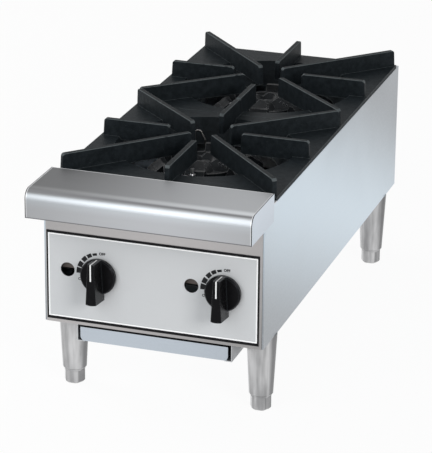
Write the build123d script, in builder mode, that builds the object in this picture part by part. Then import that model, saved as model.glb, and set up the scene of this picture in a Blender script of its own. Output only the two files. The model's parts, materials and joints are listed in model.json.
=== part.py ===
from build123d import *
import os
from math import atan2, cos, hypot, radians, sin

# Countertop gas hot plate with two burners, one behind the other, on four cast legs.
# X runs to the right, Y to the back, Z up. The feet stand on Z = 0. Lengths are in millimetres.

# Casing
body_width = 304.8
body_depth = 673.0
body_height = 187.5
leg_height = 108.0
sheet = 1.2
seam = 0.1            # between folded sheets that lie side by side
seat = 0.2            # under a piece that lifts, turns or slides
return_flange = 14.0  # sheet turned in at the front and rear edges of the side panels
top_flange = 20.0
edge_show = 2.5       # strip of side panel beside the front panel
corner_gap = 1.0      # between a folded edge and the side panels' front and rear flanges
back_drop = 3.0       # back panel's top edge below the side panels' top

# Front ledge
ledge_reach = 60.0    # in front of the front panel
ledge_cover = 34.0    # behind the front panel's face
ledge_height = 38.0
ledge_rise = 16.0     # above the side panels' top
ledge_roll = 13.0

# Front panel, overlay, knobs and sight holes
panel_lap = 15.0      # front panel's height inside the ledge
overlay_thick = 0.8
overlay_inset = 6.15  # inside the body's sides
overlay_shift = -1.2  # overlay's middle, along X
overlay_bottom = 4.5  # above the body's bottom edge
overlay_height = 124.5
knob_height = 74.3    # knob axis above the body's bottom edge
knob_inset = {"left": 78.9, "right": 54.9}  # knob axis inside the body's side
sight_shift = -44.5   # sight hole from its knob, along X
sight_lift = 2.5
sight_radius = 9.75
stem_hole_radius = 6.5
knob_gap = 3.0
skirt_radius = 24.4
skirt_thick = 6.0
skirt_bevel = 1.6
knob_depth = 30.5
grip_top = 24.2       # grip bar above and below the knob axis, at the skirt's back
grip_tail = 32.0
grip_front_top = 26.7  # and at the grip's front
grip_front_tail = 29.6
grip_top_width = 10.5
grip_tail_width = 16.5
grip_draft = 1.0      # each side of the grip leans in by this much towards its front
grip_bulge = 1.2      # of the tail's rounded end
grip_round = 1.0
grip_sink = 1.0       # grip's back inside the skirt
pointer_width = 1.8
pointer_depth = 0.6
pointer_end = 3.5     # above the knob axis

# Gas train
stem_radius = 4.0
stem_fit = 0.05
stem_flat = 3.2
stem_in_knob = 20.0
stem_in_valve = 12.0
stem_end_gap = 1.0
valve_front = 18.0    # behind the front panel's face
valve_length = 40.0
valve_radius = 11.0
valve_chamfer = 1.2
bonnet_radius = 8.5
bonnet_length = 8.0
nipple_radius = 7.0
nipple_sink = 2.0     # into the manifold's wall
manifold_drop = 38.0  # manifold axis below the knob axis
manifold_back = 40.0  # manifold axis behind the front panel's face
pipe_radius = 13.35
pipe_bore = 10.45
fitting_wall = 4.0
fitting_lap = 13.0
manifold_end_gap = 30.0  # manifold's right end inside the side panel
supply_gap = 0.55        # supply pipe beside the side panel's flange
elbow_radius = 24.0
inlet_reach = 28.0    # supply pipe behind the back panel
inlet_radius = 13.0   # its threaded end
inlet_length = 20.0
inlet_chamfer = 1.0
hood_across = 13.0
hood_length = 11.0
hood_nose = 5.0
hood_nose_radius = 4.0
hood_bore = 1.2
front_pilot_x = 2.0
rear_pilot_shift = 30.5  # rear pilot valve from the left knob, along X
pilot_valve_radius = 5.0
pilot_valve_length = 22.0
pilot_barrel_across = 12.0
pilot_valve_lift = 14.0
pilot_tube_radius = 1.2
pilot_bend = 4.0
pilot_dip = 22.0      # tubes' low runs below the pilot valves
pilot_clear = 12.0    # nozzle's axis ahead of the burner's bowl
pilot_rise = 1.5      # nozzle's top above the side panels' top
nozzle_xs = {"front": 10.0, "rear": -10.0}  # beside the grate's front rib
nozzle_height = 16.0
nozzle_across = 8.0
nozzle_socket = 3.0
strip_left = 35.0     # bracket strip's ends from the burner's centre line
strip_right = 16.0
flag_width = 10.0
flag_reach = 2.0      # ahead of the nozzle's middle
flag_height = 12.0
loop_width = 15.0     # upright loop in the rear pilot's tube, behind the front burner
loop_top_width = 8.5
loop_shoulder = 13.0  # height of its sloping right side
loop_clear = 8.0      # its axis behind the front burner's bowl
loop_below = 4.0      # its top below the side panels' top

# Burners
tube_radius = 20.0
tube_wall = 3.5
tube_start = 70.0
tube_bend_before = 84.0  # bend ahead of the burner's centre
tube_bend_radius = 60.0
riser_radius = 24.0
riser_wall = 5.0
riser_step = 2.0      # riser's shoulders above and below the mixing tube's lowest line
foot_radius = 16.0
bowl_radius = 74.0
bowl_wall = 4.0
bowl_below = 37.5     # bowl's top below the side panels' top
bowl_depth = 38.0
bowl_rim = 12.0       # upright part of the bowl's wall
mouth_radius = 9.0
lug_width = 20.0
lug_reach = 6.0
lug_height = 5.0
lug_drop = 7.0        # lug's top below the bowl's rim
shutter_length = 22.0
shutter_overhang = 2.0
shutter_wall = 1.5
shutter_fit = 0.08
window_start = 6.0
window_width = 16.0
window_length = 10.0
head_lap = 6.0        # head's flange beyond the bowl's wall
head_flange_thick = 5.0
star_radius = 48.0
star_height = 18.0    # star's rim above the bowl's top
star_rim = 3.0        # width of the star's rim
star_floor = 3.0      # below the rim
lobe_count = 6
lobe_turn = 35.0      # degrees from +X to the first lobe
lobe_inner = 52.0     # a lobe's inner end at its foot and at its top
lobe_inner_top = 56.0
lobe_outer_top = 62.0
lobe_step = 1.0       # lobes' outer ends inside the flange's edge
lobe_foot = 30.0      # across a lobe at its foot and at its top
lobe_top = 26.0
lobe_height = 21.0
lobe_wall = 9.0       # height of the upright part of a lobe's outer end
lobe_port_height = 13.0
lobe_port_pitch = 7.0
ridge_count = 4
ridge_turn = -93.0
ridge_foot = 40.0     # across a ridge at its foot and at its crest
ridge_crest = 9.0
ridge_sink = 3.5      # ridge's foot below the star's rim
ridge_height = 8.0
ridge_inner = 8.0     # foot of the ridge's inner end, from the burner's axis
ridge_peak = 17.0
ridge_shoulder = 20.0
button_radius = 7.0
button_rise = 2.0
button_taper = 12.0   # degrees
port_radius = 1.1
port_start = 23.0     # a ridge's first port, from the burner's axis
port_pitch = 5.5
port_lift = 4.4       # first port above the star's rim
port_drop = 1.3       # each next port lower by this much
spigot_radius = 44.0
spigot_depth = 9.0
spigot_wall = 4.0

# Grates
grate_front = 50.0    # behind the front panel's face
grate_rear = 13.4     # ahead of the back panel's face
grate_gap = 1.0
grate_inset = 1.9     # inside the body's sides
burner_offset = 11.15  # opening's centre from the plate's middle, towards the other grate
plate_thick = 4.5
opening_border = 17.0  # plate beyond the opening, at the joint between the grates
bowl_clear = 24.0     # bowl's lower rim outside the burner's bowl
bowl_drop = 31.0      # and below the plate's top
bowl_shell = 4.0
rib_top = 28.5        # rib height from the plate's underside
rib_thick = 7.0
rib_margin = 3.2      # rib ends inside the plate's edge
rib_corner = 4.0
rib_edge = 1.1
rib_draft = 1.8       # lean of a rib's outer end
rib_tip = {"corner": 22.0, "inner_corner": 36.0, "side": 50.0, "front": 45.0, "rear": 66.0}
rest_width = 16.0
rest_heights = {"front": 14.0, "middle": 66.0, "rear": 14.0}
rest_hook = 12.0      # end tab's lap inside the rest
rest_tab_gap = 6.0    # end tab's tip from the side panel

# Legs and feet
leg_inset = 20.4      # inside the body's sides
leg_front = 56.0      # behind the front panel's face
leg_back = 58.0       # ahead of the back panel's face
leg_top_radius = 20.5
leg_low_radius = 16.2
collar_radius = 14.1
collar_height = 1.0
shoulder_top = 22.5   # above the floor
collar_bottom = 18.6
foot_across = 26.2
foot_round = 13.9
foot_chamfer = 2.2
foot_stem_radius = 6.3
foot_stem_length = 61.0
foot_bore = 64.0
foot_fit = 0.05
stud_radius = 6.0
stud_fit = 0.5
stud_rise = 15.0
shoulder_lean = 0.25   # of the round between collar and shoulder
nut_across = 19.0
nut_height = 7.0
gusset_thick = 3.0
gusset_length = 64.0

# Crumb tray and its rails
tray_leg_gap = 9.0    # tray's lip to the legs
tray_inset = 2.0      # tray's sides inside its lip's ends
tray_gap = 4.0        # tray's lip to rail web
rail_drop = 25.0      # rail below the body's bottom edge
rail_lip = 9.0
rail_start = 4.0      # behind the front panel's face
rail_back = 25.0      # ahead of the back panel's face
rail_cap = 11.0       # rail's top flange, on the side panel's bottom flange
flange_gap = 0.3      # rail to the side panel's bottom flange
tray_stop_gap = 8.0   # tray's rear end ahead of the rails' rear ends
tray_wall_height = 17.0
tray_lip_height = 19.5
tray_lip_round = 6.5
tray_sheet = 1.0

# Inner sheets
cross_width = 76.0
cross_flange = 15.0
support_width = 34.0
support_height = 15.6
support_rise = 7.0    # above the body's bottom edge
shield_y = 61.0
shield_bottom = 51.0  # above the body's bottom edge
shield_below = 19.5   # its top below the side panels' top
shield_notch = 24.0
shield_hole = 4.0     # round each pilot tube
shield_flange = 10.0
shield_clear = 2.0    # round the supply pipe's elbow
baffle_width = 26.0   # tab behind each sight hole
baffle_back = 5.0     # behind the front panel
baffle_lap = 10.0     # height of its flange on the panel
baffle_above = 3.0    # flange's foot above the sight hole
vent_count = 9
vent_pitch = 22.0
vent_width = 6.0
vent_height = 62.0
vent_rise = 54.0
inlet_hole = 16.0
back_fold = 11.0
bracket_thick = 3.0
bracket_foot = 16.0
bracket_shift = {"left": 11.5, "right": -35.5}  # manifold brackets from the knobs, along X
screw_shares = (0.08, 0.5, 0.92)  # screws' heights, as shares of the body's height
screw_radius = 2.4
screw_head_radius = 4.8
screw_head_height = 3.2
screw_chamfer = 0.8

# Places that follow from the dimensions above
half_width = body_width / 2
side_x = half_width - sheet - seam
inner_x = side_x - sheet
body_bottom = leg_height
body_top = body_bottom + body_height
panel_y = -(body_depth + inlet_reach - ledge_reach) / 2
back_y = panel_y + body_depth
side_front_y = panel_y + sheet + seam
side_rear_y = back_y - sheet - seam
ledge_front_y = panel_y - ledge_reach
ledge_rear_y = panel_y + ledge_cover
ledge_top = body_top + ledge_rise
ledge_bottom = ledge_top - ledge_height
front_x = side_x - edge_show
fold_x = inner_x - return_flange - corner_gap
knob_xs = {"left": knob_inset["left"] - half_width, "right": half_width - knob_inset["right"]}
knob_z = body_bottom + knob_height
knob_back_y = panel_y - overlay_thick - knob_gap
manifold_y = panel_y + manifold_back
manifold_z = knob_z - manifold_drop
manifold_right = inner_x - manifold_end_gap
supply_x = -(inner_x - return_flange - supply_gap - pipe_radius)
supply_end_y = back_y + inlet_reach
pilot_xs = {"front": front_pilot_x, "rear": knob_xs["left"] + rear_pilot_shift}
bracket_xs = [knob_xs[side] + shift for side, shift in bracket_shift.items()]
leg_x = half_width - leg_inset
tray_half_width = leg_x - leg_top_radius - tray_leg_gap
rail_x = tray_half_width + tray_gap
bottom_flange = side_x - rail_x - sheet - flange_gap
stud_hole_radius = stud_radius + stud_fit
gusset_z = body_bottom + sheet
cross_z = gusset_z + gusset_thick
bowl_z = body_top - bowl_below
head_flange = bowl_radius + head_lap
lobe_end = head_flange - lobe_step
star_z = bowl_z + seat + star_height
pilot_ring = bowl_radius + pilot_clear
loop_ring = bowl_radius + loop_clear
grate_width = body_width - 2 * grate_inset
grate_length = (body_depth - grate_front - grate_gap - grate_rear) / 2
grate_y = {"front": panel_y + grate_front, "rear": panel_y + grate_front + grate_length + grate_gap}
opening_radius = grate_length / 2 - burner_offset - opening_border
bowl_rim_radius = bowl_radius + bowl_clear
burner_y = {
    "front": grate_y["front"] + grate_length / 2 + burner_offset,
    "rear": grate_y["rear"] + grate_length / 2 - burner_offset,
}
valve_of_burner = {"front": "left", "rear": "right"}
leg_places = {
    "front_left": (-leg_x, panel_y + leg_front),
    "front_right": (leg_x, panel_y + leg_front),
    "rear_left": (-leg_x, back_y - leg_back),
    "rear_right": (leg_x, back_y - leg_back),
}
stem_places = [(x, knob_z) for x in knob_xs.values()]
sight_places = [(x + sight_shift, knob_z + sight_lift) for x in knob_xs.values()]

os.makedirs("parts", exist_ok=True)


def save(part, name):
    part.label = name
    export_step(part, f"parts/{name}.step")


def box_between(low, high, mode=Mode.ADD):
    # A box between two opposite corners, in the part that is being built.
    spans = [sorted(pair) for pair in zip(low, high)]
    middle = tuple((a + b) / 2 for a, b in spans)
    with Locations(middle):
        Box(*[b - a for a, b in spans], mode=mode)


def facing_front(x, y, z):
    # A plane that faces the front, with its local Y pointing up.
    return Plane(origin=(x, y, z), x_dir=(1, 0, 0), z_dir=(0, -1, 0))


def facing_rear(x, y, z):
    # A plane that faces the rear, with its local Y pointing up.
    return Plane(origin=(x, y, z), x_dir=(-1, 0, 0), z_dir=(0, 1, 0))


# Side panels: a web with flanges turned in on all four edges
def make_side_panel(name, side):
    top_in = side * (side_x - top_flange)
    bottom_in = side * (side_x - bottom_flange)
    return_in = side * (inner_x - return_flange)
    with BuildPart() as panel:
        box_between((side * inner_x, side_front_y, body_bottom), (side * side_x, side_rear_y, body_top))
        box_between((top_in, side_front_y, body_top - sheet), (side * side_x, side_rear_y, body_top))
        box_between((bottom_in, side_front_y, body_bottom), (side * side_x, side_rear_y, body_bottom + sheet))
        for y in (side_front_y, side_rear_y - sheet):
            box_between((return_in, y, body_bottom), (side * inner_x, y + sheet, body_top))
        with Locations(*[(x, y, body_bottom) for x, y in leg_places.values() if x * side > 0]):
            Cylinder(stud_hole_radius, 3 * sheet, mode=Mode.SUBTRACT)
    save(panel.part, name)


make_side_panel("side_panel_left", -1)
make_side_panel("side_panel_right", 1)


# Back panel: vent slots, a fold at its top and the hole for the supply pipe
back_screw_places = [
    (side * (inner_x - return_flange / 2), body_bottom + body_height * share)
    for side in (-1, 1)
    for share in screw_shares
]
with BuildPart() as back_panel:
    with BuildSketch(Plane.XZ.offset(-back_y)):
        with Locations((0, body_bottom)):
            Rectangle(2 * front_x, body_height - back_drop, align=(Align.CENTER, Align.MIN))
        with Locations((vent_pitch, body_bottom + vent_rise)):
            with GridLocations(vent_pitch, 0, vent_count, 1):
                SlotOverall(vent_height, vent_width, rotation=90, mode=Mode.SUBTRACT)
        with Locations((supply_x, manifold_z)):
            Circle(inlet_hole, mode=Mode.SUBTRACT)
        with Locations(*back_screw_places):
            Circle(screw_radius + seam, mode=Mode.SUBTRACT)
    extrude(amount=sheet)
    back_fold_z = body_top - back_drop
    box_between(
        (-fold_x, back_y - back_fold, back_fold_z - sheet),
        (fold_x, back_y, back_fold_z),
    )
save(back_panel.part, "back_panel")

with BuildPart() as back_panel_screws:
    with BuildSketch(*[facing_rear(x, back_y, z) for x, z in back_screw_places]):
        Circle(screw_head_radius)
    extrude(amount=screw_head_height)
    chamfer(back_panel_screws.edges().group_by(Axis.Y)[-1], length=screw_chamfer)
    with BuildSketch(*[facing_front(x, back_y, z) for x, z in back_screw_places]):
        Circle(screw_radius)
    extrude(amount=sheet + seam)
save(back_panel_screws.part, "back_panel_screws")


# Front panel: stem holes and sight holes, with its top edge folded back inside the ledge
front_top = ledge_bottom + panel_lap
with BuildPart() as front_panel:
    with BuildSketch(Plane.XZ.offset(-panel_y)):
        with Locations((0, body_bottom)):
            Rectangle(2 * front_x, front_top - body_bottom, align=(Align.CENTER, Align.MIN))
        with Locations(*stem_places):
            Circle(stem_hole_radius, mode=Mode.SUBTRACT)
        with Locations(*sight_places):
            Circle(sight_radius, mode=Mode.SUBTRACT)
    extrude(amount=-sheet)
    box_between((-fold_x, panel_y, front_top - sheet), (fold_x, panel_y + return_flange, front_top))
save(front_panel.part, "front_panel")

with BuildPart() as control_overlay:
    with BuildSketch(Plane.XZ.offset(-panel_y)):
        with Locations((overlay_shift, body_bottom + overlay_bottom)):
            Rectangle(body_width - 2 * overlay_inset, overlay_height, align=(Align.CENTER, Align.MIN))
        with Locations(*stem_places):
            Circle(stem_hole_radius, mode=Mode.SUBTRACT)
        with Locations(*sight_places):
            Circle(sight_radius, mode=Mode.SUBTRACT)
    extrude(amount=overlay_thick)
save(control_overlay.part, "control_overlay")


# Front ledge: flat top, rolled front edge, open below where the body stands in it
ledge_depth = ledge_reach + ledge_cover
ledge_flange = grate_front - ledge_cover - grate_gap
ledge_middle = ((ledge_front_y + ledge_rear_y) / 2, (ledge_top + ledge_bottom) / 2)
with BuildPart() as ledge_shell:
    with BuildSketch(Plane.YZ.offset(-half_width + sheet)) as ledge_section:
        with Locations(ledge_middle):
            Rectangle(ledge_depth, ledge_height)
        front_vertices = ledge_section.vertices().group_by(Axis.X)[0]
        fillet(front_vertices.sort_by(Axis.Y)[-1], ledge_roll)
        fillet(front_vertices.sort_by(Axis.Y)[0], 2 * sheet)
        offset(ledge_section.face(), amount=-sheet, mode=Mode.SUBTRACT)
        with Locations((ledge_rear_y + sheet, body_top + seam)):
            Rectangle(ledge_cover + 2 * sheet, ledge_height, align=(Align.MAX, Align.MAX), mode=Mode.SUBTRACT)
        # Rear flange along the side panels' top, as far as the front grate
        with Locations((ledge_rear_y - sheet, body_top + seam)):
            Rectangle(ledge_flange + sheet, sheet, align=(Align.MIN, Align.MIN))
    extrude(amount=body_width - 2 * sheet)
save(ledge_shell.part, "ledge_shell")


def make_ledge_cap(name, side):
    # End plate of the ledge, with the rolled corner of its section.
    with BuildPart() as cap:
        with BuildSketch(Plane.YZ.offset(side * (half_width - sheet))) as outline:
            with Locations(ledge_middle):
                Rectangle(ledge_depth, ledge_height)
            front_corners = outline.vertices().group_by(Axis.X)[0]
            fillet(front_corners.sort_by(Axis.Y)[-1], ledge_roll)
            fillet(front_corners.sort_by(Axis.Y)[0], 2 * sheet)
        extrude(amount=side * sheet)
    save(cap.part, name)


make_ledge_cap("ledge_cap_left", -1)
make_ledge_cap("ledge_cap_right", 1)


# Knobs: a bevelled skirt, a tapered grip bar with a tail, and a pointer line inlaid along its front and top
grip_front_y = knob_back_y - knob_depth
skirt_front_y = knob_back_y - skirt_thick


def make_knob(place, x):
    back = facing_front(x, knob_back_y, knob_z)
    with BuildPart() as blank:
        with BuildSketch(back):
            Circle(skirt_radius)
        extrude(amount=skirt_thick)
        chamfer(blank.edges().group_by(Axis.Y)[0], length=skirt_bevel)
        # Grip bar: narrow above, wide at its tail, with a rounded end
        for depth, top, tail, draft in (
            (grip_sink, grip_top, grip_tail, 0),
            (knob_depth, grip_front_top, grip_front_tail, grip_draft),
        ):
            top_x = grip_top_width / 2 - draft
            tail_x = grip_tail_width / 2 - draft
            with BuildSketch(back.offset(depth)):
                with BuildLine():
                    Polyline((-tail_x, -tail), (-top_x, top), (top_x, top), (tail_x, -tail))
                    ThreePointArc((-tail_x, -tail), (0, -tail - grip_bulge), (tail_x, -tail))
                make_face()
        loft()
        fillet(blank.faces().sort_by(Axis.Y)[0].edges(), radius=grip_round)
    with BuildPart() as pointer:
        box_between(
            (x - pointer_width / 2, grip_front_y, knob_z + pointer_end),
            (x + pointer_width / 2, skirt_front_y, knob_z + grip_front_top),
        )
        add(blank.part, mode=Mode.INTERSECT)
        # Only a thin layer stays, along the grip's front and its sloping top
        with BuildSketch(Plane.YZ.offset(x)):
            with BuildLine():
                Polyline(
                    (grip_front_y + pointer_depth, knob_z),
                    (grip_front_y + pointer_depth, knob_z + grip_front_top - 2 * pointer_depth),
                    (knob_back_y, knob_z + grip_top - 2 * pointer_depth),
                    (knob_back_y, knob_z),
                    close=True,
                )
            make_face()
        extrude(amount=pointer_width, both=True, mode=Mode.SUBTRACT)
    save(pointer.part, f"knob_pointer_{place}")
    with BuildPart() as knob:
        add(blank.part)
        add(pointer.part, mode=Mode.SUBTRACT)
        with BuildSketch(back):
            Circle(stem_radius + stem_fit)
        extrude(amount=stem_in_knob + stem_end_gap, mode=Mode.SUBTRACT)
    save(knob.part, f"knob_{place}")


# Valves: a brass barrel with a bonnet, a nipple down into the manifold and a stem to the knob
valve_front_y = panel_y + valve_front
valve_rear_y = valve_front_y + valve_length


def make_valve(name, x):
    with BuildPart() as valve:
        with BuildSketch(facing_rear(x, valve_front_y + bonnet_length, knob_z)):
            Circle(valve_radius)
        extrude(amount=valve_length - bonnet_length)
        chamfer(valve.edges().filter_by(GeomType.CIRCLE), length=valve_chamfer)
        with BuildSketch(facing_rear(x, valve_front_y, knob_z)):
            Circle(bonnet_radius)
        extrude(amount=bonnet_length + valve_chamfer)
        with BuildSketch(Plane.XY.offset(manifold_z + pipe_radius - nipple_sink)):
            with Locations((x, manifold_y)):
                Circle(nipple_radius)
        extrude(amount=manifold_drop - pipe_radius + nipple_sink)
        with BuildSketch(facing_rear(x, valve_front_y, knob_z)):
            Circle(stem_radius + stem_fit)
        extrude(amount=stem_in_valve + seat, mode=Mode.SUBTRACT)
    save(valve.part, name)


def make_stem(name, x):
    # Round stem with a flat, from inside the valve to inside the knob.
    start_y = valve_front_y + stem_in_valve
    end_y = knob_back_y - stem_in_knob
    with BuildPart() as stem:
        with BuildSketch(facing_front(x, start_y, knob_z)):
            Circle(stem_radius)
        extrude(amount=start_y - end_y)
        box_between(
            (x - stem_radius, end_y - seat, knob_z + stem_flat),
            (x + stem_radius, knob_back_y, knob_z + 2 * stem_radius),
            mode=Mode.SUBTRACT,
        )
    save(stem.part, name)


def make_orifice_hood(name, x):
    with BuildPart() as hood:
        with BuildSketch(facing_rear(x, valve_rear_y, knob_z)):
            RegularPolygon(hood_across / 2, 6, major_radius=False)
        extrude(amount=hood_length)
        with BuildSketch(facing_rear(x, valve_rear_y, knob_z)):
            Circle(hood_nose_radius)
        extrude(amount=hood_length + hood_nose)
        with BuildSketch(facing_rear(x, valve_rear_y, knob_z)):
            Circle(hood_bore)
        extrude(amount=hood_length + hood_nose, mode=Mode.SUBTRACT)
    save(hood.part, name)


for place, knob_x in knob_xs.items():
    make_knob(place, knob_x)
    make_valve(f"gas_valve_{place}", knob_x)
    make_stem(f"valve_stem_{place}", knob_x)
    make_orifice_hood(f"orifice_hood_{place}", knob_x)


# Manifold across the front, elbow on its left, supply pipe to the rear inlet
elbow_x = supply_x + elbow_radius
elbow_y = manifold_y + elbow_radius


def along_manifold(x):
    # A plane across the manifold pipe, facing right.
    return Plane(origin=(x, manifold_y, manifold_z), x_dir=(0, 1, 0), z_dir=(1, 0, 0))


with BuildPart() as manifold_pipe:
    with BuildSketch(along_manifold(elbow_x)):
        Circle(pipe_radius)
        Circle(pipe_bore, mode=Mode.SUBTRACT)
    extrude(amount=manifold_right - elbow_x)
    with Locations(*[(x, manifold_y, manifold_z + pipe_radius) for x in knob_xs.values()]):
        Cylinder(nipple_radius + stem_fit, 4 * nipple_sink, mode=Mode.SUBTRACT)
    with Locations(*[(x, manifold_y, manifold_z + pipe_radius) for x in pilot_xs.values()]):
        Cylinder(pilot_valve_radius + stem_fit, 4 * nipple_sink, mode=Mode.SUBTRACT)
save(manifold_pipe.part, "manifold_pipe")

with BuildPart() as manifold_cap:
    with BuildSketch(along_manifold(manifold_right - fitting_lap)):
        Circle(pipe_radius + fitting_wall)
    extrude(amount=fitting_lap + fitting_wall)
    fillet(manifold_cap.edges().group_by(Axis.X)[-1], radius=fitting_wall / 2)
    with BuildSketch(along_manifold(manifold_right - fitting_lap)):
        Circle(pipe_radius)
    extrude(amount=fitting_lap, mode=Mode.SUBTRACT)
save(manifold_cap.part, "manifold_cap")

with BuildPart() as manifold_elbow:
    with BuildLine() as elbow_path:
        Line((elbow_x + fitting_lap, manifold_y, manifold_z), (elbow_x, manifold_y, manifold_z))
        TangentArc(
            (elbow_x, manifold_y, manifold_z),
            (supply_x, elbow_y, manifold_z),
            tangent=(-1, 0, 0),
        )
        Line((supply_x, elbow_y, manifold_z), (supply_x, elbow_y + fitting_lap, manifold_z))
    with BuildSketch(along_manifold(elbow_x + fitting_lap)):
        Circle(pipe_radius + fitting_wall)
    sweep(path=elbow_path.wire())
    with BuildSketch(along_manifold(elbow_x + fitting_lap)):
        Circle(pipe_bore)
    sweep(path=elbow_path.wire(), mode=Mode.SUBTRACT)
    with BuildSketch(along_manifold(elbow_x)):
        Circle(pipe_radius)
    extrude(amount=fitting_lap, mode=Mode.SUBTRACT)
    with BuildSketch(facing_rear(supply_x, elbow_y, manifold_z)):
        Circle(pipe_radius)
    extrude(amount=fitting_lap, mode=Mode.SUBTRACT)
save(manifold_elbow.part, "manifold_elbow")

with BuildPart() as supply_pipe:
    with BuildSketch(facing_rear(supply_x, elbow_y, manifold_z)):
        Circle(pipe_radius)
        Circle(pipe_bore, mode=Mode.SUBTRACT)
    extrude(amount=supply_end_y - inlet_length - elbow_y)
    with BuildSketch(facing_rear(supply_x, supply_end_y - inlet_length, manifold_z)):
        Circle(inlet_radius)
        Circle(pipe_bore, mode=Mode.SUBTRACT)
    extrude(amount=inlet_length)
    chamfer(supply_pipe.edges().group_by(Axis.Y)[-1].sort_by(Edge.length)[-1], length=inlet_chamfer)
save(supply_pipe.part, "supply_pipe")

with BuildPart() as manifold_brackets:
    for x in bracket_xs:
        with BuildSketch(along_manifold(x)):
            Circle(pipe_radius + 2 * fitting_wall)
            Rectangle(2 * pipe_radius, manifold_z - cross_z - sheet, align=(Align.CENTER, Align.MAX))
            Circle(pipe_radius + seam, mode=Mode.SUBTRACT)
        extrude(amount=bracket_thick)
        box_between(
            (x, manifold_y - pipe_radius, cross_z + sheet),
            (x + bracket_foot, manifold_y + pipe_radius, cross_z + sheet + bracket_thick),
        )
save(manifold_brackets.part, "manifold_brackets")


# Burner bodies: a bowl on a riser with a foot, fed by a bent mixing tube with air windows
def make_burner_body(name, place):
    centre_y = burner_y[place]
    tube_x = knob_xs[valve_of_burner[place]]
    start_y = panel_y + tube_start
    foot_z = body_bottom + support_rise + support_height
    throat_z = bowl_z - bowl_depth
    axis = Axis((0, centre_y, 0), (0, 0, 1))
    bore_radius = tube_radius - tube_wall
    with BuildPart() as body:
        with BuildSketch(Plane.XZ.offset(-centre_y)):
            with BuildLine():
                Polyline(
                    (0, foot_z),
                    (foot_radius, foot_z),
                    (foot_radius, knob_z - tube_radius - riser_step),
                    (riser_radius, knob_z - tube_radius + riser_step),
                    (riser_radius, throat_z),
                    (bowl_radius, bowl_z - bowl_rim),
                    (bowl_radius, bowl_z),
                    (0, bowl_z),
                    close=True,
                )
            make_face()
        revolve(axis=axis)
        # Mixing tube, then its bore
        for radius, wall, mode in ((tube_radius, 0, Mode.ADD), (bore_radius, tube_wall, Mode.SUBTRACT)):
            with BuildLine() as route:
                FilletPolyline(
                    (tube_x, start_y + wall, knob_z),
                    (tube_x, centre_y - tube_bend_before, knob_z),
                    (0, centre_y, knob_z),
                    radius=tube_bend_radius,
                )
            with BuildSketch(facing_rear(tube_x, start_y + wall, knob_z)):
                Circle(radius)
            sweep(path=route.wire(), mode=mode)
        # Inside of the riser and the bowl
        with BuildSketch(Plane.XZ.offset(-centre_y)):
            with BuildLine():
                Polyline(
                    (0, knob_z - bore_radius - riser_step),
                    (riser_radius - riser_wall, knob_z - bore_radius - riser_step),
                    (riser_radius - riser_wall, throat_z + bowl_wall),
                    (bowl_radius - bowl_wall, bowl_z - bowl_rim + bowl_wall),
                    (bowl_radius - bowl_wall, bowl_z),
                    (0, bowl_z),
                    close=True,
                )
            make_face()
        revolve(axis=axis, mode=Mode.SUBTRACT)
        # Mouth round the orifice hood, and an air window on each side behind it
        with BuildSketch(facing_rear(tube_x, start_y, knob_z)):
            Circle(mouth_radius)
        extrude(amount=2 * tube_wall, mode=Mode.SUBTRACT)
        with Locations((tube_x, start_y + window_start + window_length / 2, knob_z)):
            Box(3 * tube_radius, window_length, window_width, mode=Mode.SUBTRACT)
        # Lug that carries the pilot's bracket
        box_between(
            (-lug_width / 2, centre_y - bowl_radius - lug_reach, bowl_z - lug_drop - lug_height),
            (lug_width / 2, centre_y - bowl_radius + bowl_wall / 2, bowl_z - lug_drop),
        )
    save(body.part, name)


def make_air_shutter(name, place):
    # Sleeve that turns on the mixing tube's mouth, with windows like the tube's.
    tube_x = knob_xs[valve_of_burner[place]]
    start_y = panel_y + tube_start - shutter_overhang
    inner = tube_radius + shutter_fit
    with BuildPart() as shutter:
        with BuildSketch(facing_rear(tube_x, start_y, knob_z)):
            Circle(inner + shutter_wall)
            Circle(inner, mode=Mode.SUBTRACT)
        extrude(amount=shutter_length)
        with Locations((tube_x, panel_y + tube_start + window_start + window_length / 2, knob_z)):
            Box(3 * tube_radius, window_length, window_width, mode=Mode.SUBTRACT)
    save(shutter.part, name)


# Burner heads: a star of ridges inside a crown of lobes, with ports in both
def radial_plane(place, angle, reach, z):
    # A plane that faces outwards from the burner's axis, with its local Y pointing up.
    out = (cos(radians(angle)), sin(radians(angle)), 0)
    along = (-sin(radians(angle)), cos(radians(angle)), 0)
    origin = (out[0] * reach, burner_y[place] + out[1] * reach, z)
    return Plane(origin=origin, x_dir=along, z_dir=out)


def side_plane(place, angle, z):
    # An upright plane through the burner's axis, with its local X pointing outwards.
    out = (cos(radians(angle)), sin(radians(angle)), 0)
    across = (sin(radians(angle)), -cos(radians(angle)), 0)
    return Plane(origin=(0, burner_y[place], z), x_dir=out, z_dir=across)


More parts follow.
